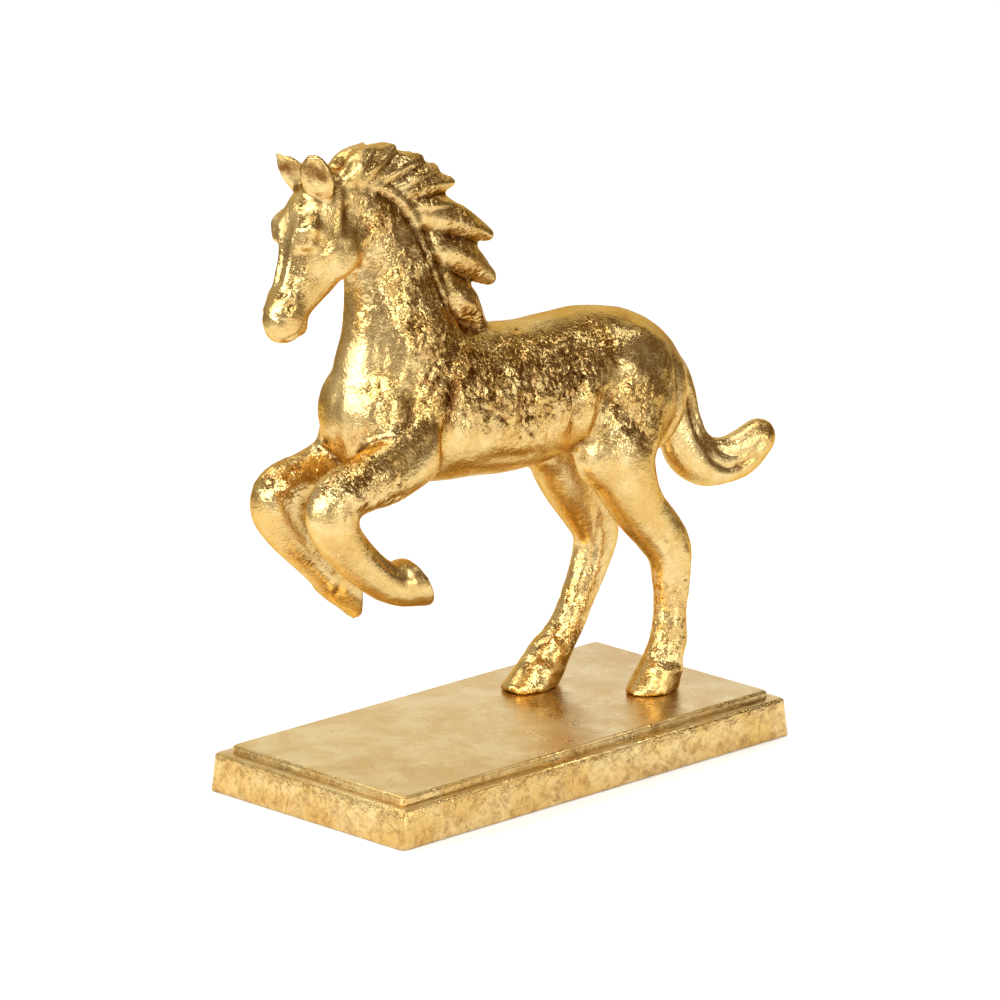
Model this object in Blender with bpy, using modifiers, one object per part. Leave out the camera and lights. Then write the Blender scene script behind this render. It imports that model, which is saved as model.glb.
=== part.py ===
"""A cast iron horse that canters on its hind legs, standing on a stepped plinth.

The horse faces -X and its right side is +Y. The origin is on the underside of the plinth, at its centre.
The figure is drawn in its own units, of which DRAWN_HEIGHT make up its height above the plinth.
In the drawing z starts from the top of the plinth, y from the middle plane, and x grows towards the tail.
"""

import math

import bmesh
import bpy
import numpy as np
from mathutils import Matrix, Vector

# Driving dimensions, in metres
FIGURE_HEIGHT = 0.1693
PLINTH_LENGTH = 0.1485
PLINTH_WIDTH = 0.0756
SLAB_HEIGHT = 0.0107
SLAB_TAPER = 0.0008
STEP_INSET = 0.0034
STEP_HEIGHT = 0.0022
CORNER_ROUND = 0.0012
EDGE_ROUND = 0.0006
SOLE_GAP = 0.0003

# The drawing of the figure
DRAWN_HEIGHT = 171.0
FIGURE_SCALE = FIGURE_HEIGHT / DRAWN_HEIGHT
PLINTH_HEIGHT = SLAB_HEIGHT + STEP_HEIGHT
BODY_VOXEL = 1.0
BODY_SMOOTHING = 6
FIGURE_VOXEL = 0.8
FIGURE_SMOOTHING = 1
FIGURE_TRIANGLES = 9000
LIMB_RING = 28
HOOF_RING = 24
LEAF_RING = 16
MASS_SEGMENTS = 20
MASS_RINGS = 12
STEPS_PER_SPAN = 5
GROOVE_STEPS = 6
DOME_STEPS = 4
DOME_END_STEP = 4.4
CORNER_STEPS = 3
SEAT_BAND = 0.3

# Each row of a path is x, y, z of the middle of a section, its half depth and its half width
TRUNK = (
    (-53.0, 0.0, 97.0, 15.5, 11.2),
    (-44.0, 0.0, 96.2, 19.5, 14.5),
    (-30.0, 0.0, 94.4, 21.0, 16.5),
    (-12.0, 0.0, 92.6, 21.2, 17.0),
    (5.0, 0.0, 91.0, 20.9, 17.2),
    (20.0, 0.0, 92.0, 19.6, 16.6),
    (34.0, 0.0, 93.0, 18.0, 15.6),
    (47.0, 0.0, 90.0, 16.4, 14.0),
    (57.0, 0.0, 84.6, 12.8, 11.0),
    (63.0, 0.0, 79.5, 9.0, 7.5),
)
NECK = (
    (-36.0, 0.0, 94.0, 24.0, 13.6),
    (-39.4, 0.0, 109.0, 22.2, 13.2),
    (-41.4, 0.0, 121.0, 16.9, 11.0),
    (-43.2, 0.2, 133.0, 14.2, 9.2),
    (-47.0, 0.5, 144.0, 12.5, 8.2),
    (-53.0, 0.8, 153.0, 10.6, 7.2),
    (-61.0, 0.8, 157.5, 8.2, 6.4),
)
HEAD = (
    (-65.2, 0.8, 160.2, 6.8, 6.0),
    (-67.2, 0.8, 155.4, 10.8, 7.0),
    (-68.8, 0.8, 148.2, 12.4, 7.4),
    (-71.4, 0.8, 141.2, 11.6, 6.4),
    (-75.4, 0.8, 135.8, 9.0, 5.2),
    (-78.7, 0.8, 131.6, 7.2, 4.8),
    (-80.9, 0.8, 128.0, 6.6, 5.4),
    (-81.3, 0.8, 125.2, 5.4, 5.0),
)
NEAR_FORELIMB = (
    (-42.0, -10.5, 88.0, 11.0, 7.0),
    (-53.5, -12.5, 83.8, 9.5, 6.8),
    (-65.0, -12.8, 81.9, 8.1, 6.6),
    (-74.2, -12.6, 79.4, 7.8, 6.4),
    (-76.6, -12.4, 75.0, 7.6, 6.4),
    (-73.6, -12.2, 68.4, 6.9, 6.0),
    (-65.4, -12.0, 59.4, 6.1, 5.2),
    (-57.5, -12.0, 53.4, 5.7, 5.1),
    (-51.0, -12.0, 50.6, 5.8, 5.6),
    (-46.0, -12.0, 49.8, 6.0, 6.0),
)
FAR_FORELIMB = (
    (-40.0, 10.5, 84.9, 11.0, 7.0),
    (-49.0, 12.8, 80.0, 9.0, 6.8),
    (-60.0, 13.8, 77.0, 8.0, 6.6),
    (-70.6, 14.0, 75.6, 7.6, 6.4),
    (-72.3, 14.0, 71.2, 7.3, 6.4),
    (-68.4, 14.0, 65.2, 6.8, 6.0),
    (-61.4, 14.0, 57.2, 6.0, 5.2),
    (-54.6, 14.0, 50.6, 5.5, 5.0),
    (-49.6, 14.0, 45.6, 5.6, 5.4),
    (-46.0, 14.0, 42.6, 5.6, 5.6),
)
NEAR_HINDLIMB = (
    (38.0, -9.0, 86.0, 20.0, 9.5),
    (33.8, -12.0, 71.0, 12.4, 8.6),
    (37.2, -12.2, 60.6, 9.3, 7.2),
    (42.4, -11.8, 53.0, 8.0, 6.2),
    (48.6, -11.4, 46.4, 7.7, 5.6),
    (54.2, -11.0, 39.2, 7.3, 5.2),
    (54.9, -11.0, 30.0, 5.6, 4.8),
    (54.7, -11.0, 20.6, 5.2, 4.6),
    (53.9, -11.0, 12.6, 5.6, 5.0),
    (51.6, -11.0, 7.4, 5.8, 5.6),
    (50.0, -11.0, 0.0, 6.2, 6.0),
)
FAR_HINDLIMB = (
    (38.0, 9.0, 86.0, 17.0, 9.5),
    (35.2, 12.2, 70.0, 12.2, 8.8),
    (39.4, 13.0, 59.4, 10.4, 7.4),
    (45.0, 13.8, 50.6, 9.0, 6.4),
    (50.4, 14.0, 41.4, 7.8, 5.4),
    (48.8, 14.0, 33.4, 6.4, 5.0),
    (44.2, 14.2, 23.8, 5.3, 4.6),
    (39.4, 14.4, 15.2, 5.3, 4.8),
    (34.0, 14.6, 8.8, 5.6, 5.6),
    (28.4, 14.6, 2.6, 6.2, 6.0),
)
TAIL = (
    (57.0, 0.0, 91.5, 6.5, 5.5),
    (63.8, -0.2, 86.2, 6.8, 5.4),
    (66.4, -1.0, 78.0, 7.2, 5.4),
    (67.0, -2.0, 71.0, 7.7, 5.6),
    (69.6, -3.2, 63.6, 7.6, 5.8),
    (75.2, -4.6, 59.2, 7.2, 5.8),
    (82.2, -6.0, 58.6, 6.9, 5.4),
    (87.9, -7.2, 60.4, 6.9, 5.2),
    (92.5, -8.0, 63.6, 6.0, 4.8),
)
CREST = (
    (-62.0, 0.8, 158.0, 4.6, 4.2),
    (-54.0, 0.8, 160.6, 5.6, 4.6),
    (-45.0, 0.6, 158.0, 6.4, 5.0),
    (-36.5, 0.4, 149.0, 6.8, 5.2),
    (-29.5, 0.0, 137.0, 6.8, 5.2),
    (-22.0, 0.0, 125.0, 6.4, 5.0),
    (-13.0, 0.0, 115.5, 5.0, 4.6),
)

# Each lock is the x and z of its root, of its middle and of its tip, and its half depth
LOCKS = (
    ((-61.6, 162.6), (-57.2, 166.8), (-50.6, 170.0), 2.8),
    ((-57.6, 162.4), (-50.4, 166.2), (-42.4, 168.8), 3.2),
    ((-53.2, 160.7), (-42.5, 163.4), (-32.4, 163.8), 3.8),
    ((-48.0, 158.0), (-36.5, 160.0), (-26.6, 160.4), 3.2),
    ((-44.0, 156.0), (-32.0, 156.8), (-20.4, 155.2), 4.2),
    ((-41.0, 152.6), (-30.0, 151.2), (-22.0, 150.0), 3.4),
    ((-37.6, 150.0), (-22.0, 145.0), (-6.0, 137.8), 5.2),
    ((-31.8, 140.6), (-17.6, 134.0), (-5.4, 125.8), 5.6),
    ((-27.0, 128.0), (-17.4, 120.8), (-9.0, 113.4), 5.6),
)
LOCK_HALF_WIDTH = 2.8
LOCK_ROOT_SPREAD = 3.6
LOCK_TIP_SPREAD = 1.3
LOCK_FULLNESS = (0.8, 1.0, 0.42)

# Muscle masses on both sides: x, y and z of the middle, half sizes along, across and up, and tilt in degrees
MASSES = (
    (-37.0, 8.6, 98.0, 9.5, 7.2, 21.0, 50.0),
    (-51.4, 6.6, 96.0, 10.2, 7.0, 14.0, -6.0),
    (-46.0, 10.5, 87.0, 12.5, 7.0, 8.5, 12.0),
    (-40.0, 7.6, 112.0, 12.0, 5.4, 15.0, 18.0),
    (38.0, 8.5, 87.0, 21.0, 9.0, 20.0, 22.0),
    (52.0, 7.0, 82.0, 11.0, 7.4, 15.0, 18.0),
    (27.5, 11.0, 71.0, 8.6, 7.0, 10.0, -20.0),
    (48.0, 6.0, 94.0, 12.0, 6.0, 9.0, 30.0),
)
HEAD_MASSES = (
    (-64.0, 4.6, 144.6, 8.0, 3.6, 9.0, 30.0),
    (-77.2, 5.2, 152.0, 4.8, 3.0, 2.4, -56.0),
    (-77.4, 5.8, 149.6, 2.8, 2.4, 2.0, -40.0),
    (-82.6, 3.4, 131.4, 2.6, 2.4, 3.2, 20.0),
    (-75.8, 0.0, 124.4, 3.2, 3.2, 2.8, 10.0),
)

# Ears, near then far: base and tip, half depth and half width, the way that the blade faces,
# and how full it is at each share of its height
EARS = (
    (
        (-71.6, -3.3, 161.4),
        (-75.8, -6.0, 171.4),
        (4.9, 2.4),
        (-0.85, -0.5, 0.2),
        ((0.0, 0.9), (0.4, 1.0), (0.75, 0.9), (1.0, 0.56)),
    ),
    (
        (-69.3, 4.9, 162.2),
        (-76.4, 8.6, 171.0),
        (4.7, 2.2),
        (-1.0, -0.1, 0.25),
        ((0.0, 1.0), (0.4, 0.86), (0.75, 0.6), (1.0, 0.2)),
    ),
)

# Hooves: coronet and sole as x, y, z, half depth and half width, then a point of the sole and its slope
HOOVES = (
    ((-51.4, -12.0, 51.4, 6.4, 5.8), (-38.0, -12.0, 49.6, 7.6, 6.6), (-43.8, 49.4), (0.89, 0.45)),
    ((-52.4, 14.0, 48.4, 5.8, 5.8), (-40.0, 14.0, 39.4, 6.6, 6.4), (-44.8, 42.4), (0.97, 0.24)),
    ((52.6, -11.0, 8.4, 6.0, 5.8), (46.2, -11.0, -4.0, 8.4, 7.2), (48.0, 0.0), (0.0, -1.0)),
    ((33.8, 14.6, 9.2, 6.0, 5.8), (22.0, 14.6, -4.0, 8.0, 7.2), (26.0, 0.0), (0.0, -1.0)),
)

# Grooves on both sides of the head and body: half width, depth, then points as x, y outwards and z
GROOVES = (
    (1.1, 0.8, (-80.8, 4.6, 150.6), (-77.6, 7.6, 151.2), (-73.6, 8.2, 149.8)),
    (1.3, 0.8, (-80.6, 4.4, 146.8), (-77.2, 6.8, 146.2), (-73.0, 7.8, 147.6)),
    (1.3, 1.6, (-83.8, 4.6, 131.8), (-82.4, 5.7, 132.6)),
    (1.0, 1.0, (-84.4, 3.8, 124.6), (-80.8, 5.4, 126.2), (-77.4, 5.4, 128.6)),
    (2.2, 1.2, (-63.0, 7.6, 155.0), (-59.0, 8.4, 147.0), (-58.4, 8.4, 139.0), (-61.5, 6.0, 134.0)),
    (2.6, 1.0, (-33.0, 15.4, 104.0), (-35.0, 16.5, 95.0), (-36.5, 16.5, 87.0), (-36.0, 12.0, 79.0)),
    (2.8, 0.8, (15.5, 13.4, 105.0), (13.0, 16.5, 96.6), (12.3, 16.4, 88.0), (13.4, 14.6, 80.0)),
    (2.0, 0.8, (-63.0, 0.0, 108.0), (-64.5, 0.0, 98.0), (-63.0, 0.0, 88.0)),
)
TAIL_GROOVES = (
    (1.2, 1.1, (62.0, -5.8, 90.0), (68.4, -6.4, 78.2), (69.6, -7.4, 70.6), (73.8, -9.2, 63.6)),
    (1.2, 1.1, (73.8, -9.2, 63.6), (79.2, -10.6, 59.4), (85.4, -11.8, 59.2), (91.0, -12.4, 63.4)),
    (1.1, 1.0, (73.8, -7.6, 68.2), (78.0, -9.6, 63.6), (83.0, -10.8, 62.4), (88.0, -11.6, 64.6)),
    (1.2, 1.1, (62.0, 5.6, 90.0), (68.4, 4.0, 78.2), (69.2, 3.4, 70.6), (74.0, 1.6, 61.6)),
    (1.2, 1.1, (74.0, 1.6, 61.6), (82.0, -0.6, 58.4), (90.0, -2.8, 61.6)),
)


def spline(rows, steps):
    """Points of a smooth curve through the rows, which may have any number of columns."""
    rows = np.asarray(rows, float)
    padded = np.vstack([2 * rows[0] - rows[1], rows, 2 * rows[-1] - rows[-2]])
    found = []
    for i in range(len(rows) - 1):
        before, start, end, after = padded[i : i + 4]
        for t in np.arange(steps) / steps:
            found.append(
                0.5
                * (
                    2 * start
                    + (end - before) * t
                    + (2 * before - 5 * start + 4 * end - after) * t**2
                    + (3 * start - before - 3 * end + after) * t**3
                )
            )
    found.append(rows[-1])
    return np.array(found)


def section_frames(points, across):
    """The direction of travel, the depth direction and the width direction at each point of a path."""
    travel = np.gradient(points, axis=0)
    travel /= np.linalg.norm(travel, axis=1)[:, None]
    width = across - (travel @ across)[:, None] * travel
    width /= np.linalg.norm(width, axis=1)[:, None]
    return travel, np.cross(travel, width), width


def loft(bm, rows, dome_start=0.6, dome_end=0.6, across=(0.0, 1.0, 0.0), ring=LIMB_RING):
    """A closed limb through elliptical sections, with domes as long as these shares of the half depth."""
    fine = spline(rows, STEPS_PER_SPAN)
    travel, depth, width = section_frames(fine[:, :3], np.array(across))
    sections = [(row[:3], d, w, row[3], row[4]) for row, d, w in zip(fine, depth, width)]
    for share, index, sign in ((dome_start, 0, -1), (dome_end, -1, 1)):
        row = fine[index]
        added = []
        for step in range(1, DOME_STEPS + 1 if share else 0):
            angle = 0.5 * math.pi * step / DOME_END_STEP
            middle = row[:3] + sign * share * row[3] * math.sin(angle) * travel[index]
            shrink = math.cos(angle)
            added.append((middle, depth[index], width[index], row[3] * shrink, row[4] * shrink))
        sections = added[::-1] + sections if index == 0 else sections + added
    rings = []
    for middle, d, w, half_depth, half_width in sections:
        angles = 2 * math.pi * np.arange(ring) / ring
        corners = middle + np.outer(half_depth * np.cos(angles), d) + np.outer(half_width * np.sin(angles), w)
        rings.append([bm.verts.new(corner) for corner in corners])
    for lower, upper in zip(rings, rings[1:]):
        for i in range(ring):
            j = (i + 1) % ring
            bm.faces.new((lower[i], lower[j], upper[j], upper[i]))
    bm.faces.new(rings[0][::-1])
    bm.faces.new(rings[-1])


def mass(bm, middle, half_sizes, tilt):
    """An ellipsoid of muscle, tilted about the crosswise axis."""
    place = (
        Matrix.Translation(Vector(middle))
        @ Matrix.Rotation(math.radians(tilt), 4, "Y")
        @ Matrix.Diagonal(Vector((*half_sizes, 1.0)))
    )
    bmesh.ops.create_uvsphere(bm, u_segments=MASS_SEGMENTS, v_segments=MASS_RINGS, radius=1.0, matrix=place)


def lock_rows(root, middle, tip, half_depth, side):
    """A leaf of hair through its root, middle and tip: full in the middle and drawn to a point."""
    spreads = (LOCK_ROOT_SPREAD, 0.5 * (LOCK_ROOT_SPREAD + LOCK_TIP_SPREAD), LOCK_TIP_SPREAD)
    rows = []
    for (x, z), full, spread in zip((root, middle, tip), LOCK_FULLNESS, spreads):
        rows.append((x, side * spread, z, half_depth * full, LOCK_HALF_WIDTH * full))
    return rows


def ear_rows(base, tip, half_sizes, fullness):
    """A leaf from the poll to its tip."""
    base = np.array(base)
    rows = []
    for share, full in fullness:
        place = base + share * (np.array(tip) - base)
        rows.append((*place, half_sizes[0] * full, half_sizes[1] * full))
    return rows


def add_hoof(bm, coronet, end, sole_point, sole_slope):
    """A hoof that widens from its coronet, cut off flat at its sole."""
    own = bmesh.new()
    loft(own, (coronet, end), dome_end=0.0, ring=HOOF_RING)
    cut = (sole_point[0], 0.0, sole_point[1])
    facing = (sole_slope[0], 0.0, sole_slope[1])
    everything = own.verts[:] + own.edges[:] + own.faces[:]
    bmesh.ops.bisect_plane(own, geom=everything, plane_co=cut, plane_no=facing, clear_outer=True)
    bmesh.ops.holes_fill(own, edges=[edge for edge in own.edges if edge.is_boundary])
    joined = bpy.data.meshes.new("hoof")
    own.to_mesh(joined)
    own.free()
    bm.from_mesh(joined)
    bpy.data.meshes.remove(joined)


def carve(mesh, lines):
    """Presses each line into the surface, deepest along the line and fading across its half width."""
    count = len(mesh.vertices)
    points = np.empty(count * 3)
    normals = np.empty(count * 3)
    mesh.vertices.foreach_get("co", points)
    mesh.vertices.foreach_get("normal", normals)
    points = points.reshape(-1, 3)
    normals = normals.reshape(-1, 3)
    depth = np.zeros(count)
    for half_width, deep, *corners in lines:
        nearest = np.full(count, np.inf)
        for place in spline(corners, GROOVE_STEPS):
            nearest = np.minimum(nearest, np.linalg.norm(points - place, axis=1))
        depth = np.maximum(depth, deep * np.exp(-((nearest / half_width) ** 2)))
    mesh.vertices.foreach_set("co", (points - depth[:, None] * normals).ravel())
    mesh.update()


def both_sides(lines, middle=0.0):
    """The lines given for one side, and their mirror images."""
    found = []
    for half_width, deep, *corners in lines:
        for side in (-1, 1):
            found.append((half_width, deep, *((x, middle + side * y, z) for x, y, z in corners)))
    return found


def mesh_object(name, bm):
    bmesh.ops.recalc_face_normals(bm, faces=bm.faces)
    mesh = bpy.data.meshes.new(name)
    bm.to_mesh(mesh)
    bm.free()
    return bpy.data.objects.new(name, mesh)


def baked(obj):
    """The object's mesh with its modifiers applied."""
    bpy.context.scene.collection.objects.link(obj)
    graph = bpy.context.evaluated_depsgraph_get()
    mesh = bpy.data.meshes.new_from_object(obj.evaluated_get(graph))
    bpy.data.objects.remove(obj)
    return mesh


def blended(name, bm, voxel, smoothing):
    """One skin over all the closed shapes in bm, with its joints softened."""
    obj = mesh_object(name, bm)
    remesh = obj.modifiers.new("one skin", "REMESH")
    remesh.mode = "VOXEL"
    remesh.voxel_size = voxel
    soften = obj.modifiers.new("soften joints", "SMOOTH")
    soften.iterations = smoothing
    return baked(obj)


def body_mesh():
    bm = bmesh.new()
    loft(bm, TRUNK, dome_start=0.72)
    loft(bm, NECK)
    loft(bm, HEAD, dome_start=0.9, dome_end=0.8)
    loft(bm, NEAR_FORELIMB, dome_end=0.0)
    loft(bm, FAR_FORELIMB, dome_end=0.0)
    loft(bm, NEAR_HINDLIMB, dome_end=0.0)
    loft(bm, FAR_HINDLIMB, dome_end=0.0)
    loft(bm, TAIL, dome_end=1.0)
    loft(bm, CREST)
    for middle, masses in ((0.0, MASSES), (HEAD[0][1], HEAD_MASSES)):
        for x, y, z, along, over, up, tilt in masses:
            for side in (-1, 1):
                mass(bm, (x, middle + side * y, z), (along, over, up), tilt)
    return blended("body", bm, BODY_VOXEL, BODY_SMOOTHING)


def figure_mesh():
    bm = bmesh.new()
    bm.from_mesh(body_mesh())
    for base, tip, half_sizes, facing, fullness in EARS:
        loft(bm, ear_rows(base, tip, half_sizes, fullness), across=facing, ring=LEAF_RING)
    for side in (-1, 1):
        for lock in LOCKS:
            loft(bm, lock_rows(*lock, side), ring=LEAF_RING)
    for hoof in HOOVES:
        add_hoof(bm, *hoof)
    mesh = blended("figure", bm, FIGURE_VOXEL, FIGURE_SMOOTHING)
    carve(mesh, both_sides(GROOVES) + list(TAIL_GROOVES))
    return mesh


def flat_soles(mesh):
    """Cuts off what reaches below the ground, so that the hooves stand flat on it."""
    bm = bmesh.new()
    bm.from_mesh(mesh)
    everything = bm.verts[:] + bm.edges[:] + bm.faces[:]
    bmesh.ops.bisect_plane(bm, geom=everything, plane_co=(0, 0, 0), plane_no=(0, 0, 1), clear_inner=True)
    bmesh.ops.holes_fill(bm, edges=[edge for edge in bm.edges if edge.is_boundary])
    bmesh.ops.triangulate(bm, faces=bm.faces)
    bm.to_mesh(mesh)
    bm.free()


def seat_soles(mesh):
    """Puts the corners that thinning moved a little back on the ground."""
    for vertex in mesh.vertices:
        if vertex.co.z < SEAT_BAND:
            vertex.co.z = 0.0


def add_horse(collection):
    """The figure, thinned to its faces, scaled and set on the plinth."""
    mesh = figure_mesh()
    flat_soles(mesh)
    obj = bpy.data.objects.new("horse", mesh)
    thin = obj.modifiers.new("thin", "DECIMATE")
    thin.ratio = FIGURE_TRIANGLES / len(mesh.polygons)
    mesh = baked(obj)
    mesh.name = "horse"
    seat_soles(mesh)
    mesh.transform(Matrix.Translation((0, 0, PLINTH_HEIGHT + SOLE_GAP)) @ Matrix.Scale(FIGURE_SCALE, 4))
    obj = bpy.data.objects.new("horse", mesh)
    collection.objects.link(obj)
    return obj


def rounded_ring(bm, inset, height):
    """The plinth's outline at one height, drawn in from its foot by the inset, with rounded corners."""
    reach = PLINTH_LENGTH / 2 - inset - CORNER_ROUND
    spread = PLINTH_WIDTH / 2 - inset - CORNER_ROUND
    ring = []
    centres = ((reach, spread), (-reach, spread), (-reach, -spread), (reach, -spread))
    for quarter, (x, y) in enumerate(centres):
        for step in range(CORNER_STEPS + 1):
            angle = 0.5 * math.pi * (quarter + step / CORNER_STEPS)
            corner = (x + CORNER_ROUND * math.cos(angle), y + CORNER_ROUND * math.sin(angle), height)
            ring.append(bm.verts.new(corner))
    return ring


def add_plinth(collection):
    """A slab with tapered sides, and the raised step on it."""
    step_edge = SLAB_TAPER + STEP_INSET
    levels = (
        (0.0, 0.0),
        (SLAB_TAPER, SLAB_HEIGHT - EDGE_ROUND),
        (SLAB_TAPER + EDGE_ROUND, SLAB_HEIGHT),
        (step_edge, SLAB_HEIGHT),
        (step_edge, PLINTH_HEIGHT - EDGE_ROUND),
        (step_edge + EDGE_ROUND, PLINTH_HEIGHT),
    )
    bm = bmesh.new()
    rings = [rounded_ring(bm, inset, height) for inset, height in levels]
    for lower, upper in zip(rings, rings[1:]):
        for i in range(len(lower)):
            j = (i + 1) % len(lower)
            bm.faces.new((lower[i], lower[j], upper[j], upper[i]))
    bm.faces.new(rings[0][::-1])
    bm.faces.new(rings[-1])
    obj = mesh_object("plinth", bm)
    collection.objects.link(obj)
    return obj


def gilt(name, colour, roughness):
    material = bpy.data.materials.new(name)
    material.use_nodes = True
    shader = material.node_tree.nodes["Principled BSDF"]
    shader.inputs["Base Color"].default_value = (*colour, 1.0)
    shader.inputs["Metallic"].default_value = 1.0
    shader.inputs["Roughness"].default_value = roughness
    return material


def finish(obj, material, sharp_degrees):
    obj.data.materials.clear()
    obj.data.materials.append(material)
    obj.data.shade_smooth()
    obj.data.set_sharp_from_angle(angle=math.radians(sharp_degrees))


def main():
    for old in list(bpy.data.objects):
        bpy.data.objects.remove(old)
    collection = bpy.data.collections.new("horse on plinth")
    bpy.context.scene.collection.children.link(collection)
    finish(add_horse(collection), gilt("gilt horse", (0.76, 0.49, 0.17), 0.32), 60)
    finish(add_plinth(collection), gilt("gilt plinth", (0.72, 0.50, 0.22), 0.42), 35)


main()
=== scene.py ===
"""The looks of a gilded cast iron horse on its plinth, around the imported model."""

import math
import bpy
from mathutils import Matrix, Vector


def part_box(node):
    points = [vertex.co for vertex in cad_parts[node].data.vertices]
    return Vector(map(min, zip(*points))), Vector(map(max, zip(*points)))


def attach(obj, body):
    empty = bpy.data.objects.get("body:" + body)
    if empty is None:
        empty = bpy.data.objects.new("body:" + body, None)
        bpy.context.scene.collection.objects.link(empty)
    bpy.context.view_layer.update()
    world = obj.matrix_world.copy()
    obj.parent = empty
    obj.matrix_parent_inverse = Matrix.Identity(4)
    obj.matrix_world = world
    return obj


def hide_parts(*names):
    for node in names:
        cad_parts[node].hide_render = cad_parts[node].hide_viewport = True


bl_info = {
    "name": "Gilded Horse on a Plinth",
    "version": (1, 0, 0),
    "blender": (4, 5, 0),
    "location": "3D View > Sidebar > Gilded Horse",
    "description": "Carves and gilds a cast iron horse and its plinth, and sets them in a pale studio",
    "category": "Object",
}

import bmesh
import bpy
import numpy as np
from bpy.props import FloatProperty, FloatVectorProperty, IntProperty, PointerProperty
from mathutils import Vector, noise
from mathutils.bvhtree import BVHTree

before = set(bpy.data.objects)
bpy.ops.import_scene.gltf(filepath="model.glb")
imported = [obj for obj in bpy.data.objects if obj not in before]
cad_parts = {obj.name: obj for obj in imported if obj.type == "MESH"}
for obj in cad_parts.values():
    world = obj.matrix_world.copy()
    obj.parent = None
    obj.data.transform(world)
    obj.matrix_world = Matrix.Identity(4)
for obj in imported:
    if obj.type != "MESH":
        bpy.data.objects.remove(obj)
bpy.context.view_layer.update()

# The figure is drawn in units of DRAWN_UNIT metres: z from the soles, x towards the tail
FIGURE_HEIGHT = 0.1693
DRAWN_HEIGHT = 171.0
DRAWN_UNIT = FIGURE_HEIGHT / DRAWN_HEIGHT
PLINTH_LOW, PLINTH_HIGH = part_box("plinth")
HORSE_LOW, HORSE_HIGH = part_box("horse")
GROUND = HORSE_LOW.z
GROUND_POINT = np.array((0.0, 0.0, GROUND))
HEAD_MIDDLE = 0.8

# Copies of the CAD: the distance for merging points, and the shares of each round of easing
MERGE_DISTANCE = 1e-6
EASING_SHARES = (0.5, -0.52)
LAST_EASING = (0.3,)

# Heights over the soles: where their move to the plinth ends, and where the relief is in full
SOLE_REACH = 0.0012
FEET_REACH = 4 * DRAWN_UNIT

# Leaves of the mane: x and z of root, middle and tip, then half depth
LOCKS = (
    ((-61.6, 162.6), (-57.2, 166.8), (-50.6, 170.0), 2.8),
    ((-57.6, 162.4), (-50.4, 166.2), (-42.4, 168.8), 3.2),
    ((-53.2, 160.7), (-42.5, 163.4), (-32.4, 163.8), 3.8),
    ((-48.0, 158.0), (-36.5, 160.0), (-26.6, 160.4), 3.2),
    ((-44.0, 156.0), (-32.0, 156.8), (-20.4, 155.2), 4.2),
    ((-41.0, 152.6), (-30.0, 151.2), (-22.0, 150.0), 3.4),
    ((-37.6, 150.0), (-22.0, 145.0), (-6.0, 137.8), 5.2),
    ((-31.8, 140.6), (-17.6, 134.0), (-5.4, 125.8), 5.6),
    ((-27.0, 128.0), (-17.4, 120.8), (-9.0, 113.4), 5.6),
)
LEAF_FULLNESS = np.array((0.8, 1.0, 0.42))
LEAF_STEPS = 8

# A leaf's cross section: its height, its ridge, flanks and valley, and its rim's place, width and height
LEAF_HEIGHT = 2.2
LEAF_RIDGE = 0.12
LEAF_UPPER_CURVE = 1.1
LEAF_LOWER_CURVE = 1.35
LEAF_VALLEY = 0.55
LEAF_RIM = (0.84, 0.18, 0.16)

# Where a leaf's relief is in full after its root, and how it fades at its tip, its edge and the mane's middle
LEAF_START = 0.36
LEAF_END = 1.15
LEAF_END_SLOPE = 2.2
LEAF_EDGE = 1.35
LEAF_EDGE_SLOPE = 2.0
MANE_MIDDLE = 0.6
MANE_FADE = 1.6

# The power by which a leaf's relief fades where the skin turns away from the side
SIDE_CURVE = 0.7

# Strokes on both sides: half width, depth (below nought it stands out), then points as x, y outwards and z
HEAD_STROKES = (
    (1.5, -0.45, (-81.0, 2.6, 152.2), (-79.0, 6.0, 152.6), (-75.0, 7.4, 152.4), (-71.0, 7.6, 151.6)),
    (0.9, 0.4, (-81.0, 3.4, 149.4), (-79.0, 6.4, 149.4), (-75.4, 7.4, 149.2), (-72.0, 7.4, 149.0)),
    (1.2, -0.3, (-80.6, 4.4, 147.4), (-78.4, 6.2, 147.3), (-74.6, 7.0, 147.2)),
    (0.9, 0.25, (-81.0, 3.2, 145.2), (-78.4, 5.2, 145.2), (-74.8, 6.4, 145.4)),
    (1.7, -0.6, (-67.8, 7.6, 147.8), (-70.5, 7.2, 144.6), (-74.2, 6.2, 141.8)),
    (1.9, 0.35, (-69.0, 7.2, 143.2), (-71.8, 6.4, 140.2), (-75.6, 5.2, 137.4)),
    (1.1, -0.5, (-64.4, 6.0, 160.5), (-66.3, 7.0, 154.7), (-67.9, 7.6, 148.3)),
    (1.6, 0.5, (-62.6, 7.0, 158.6), (-63.6, 8.0, 153.4), (-64.4, 8.2, 148.0)),
    (1.1, 1.1, (-83.2, 4.8, 132.6), (-82.2, 5.2, 131.8)),
    (1.1, -0.28, (-84.4, 4.0, 134.8), (-82.2, 5.4, 134.8), (-80.4, 5.6, 133.0), (-80.8, 5.4, 130.6)),
    (0.6, 0.7, (-84.0, 3.0, 123.0), (-81.0, 4.2, 123.6), (-77.4, 4.2, 125.2), (-75.2, 3.8, 128.2)),
    (
        0.8,
        -0.45,
        (-75.4, 3.4, 160.6),
        (-79.2, 3.4, 155.2),
        (-81.4, 3.2, 149.0),
        (-82.6, 3.0, 142.6),
        (-85.0, 2.8, 135.0),
    ),
    (2.2, 0.5, (-77.6, 0.0, 160.0), (-81.6, 0.0, 151.0), (-83.8, 0.0, 141.0), (-85.6, 0.0, 134.0)),
    (0.8, 0.35, (-86.4, 1.5, 130.4), (-85.4, 4.2, 128.6), (-82.6, 5.6, 127.2)),
)
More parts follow.
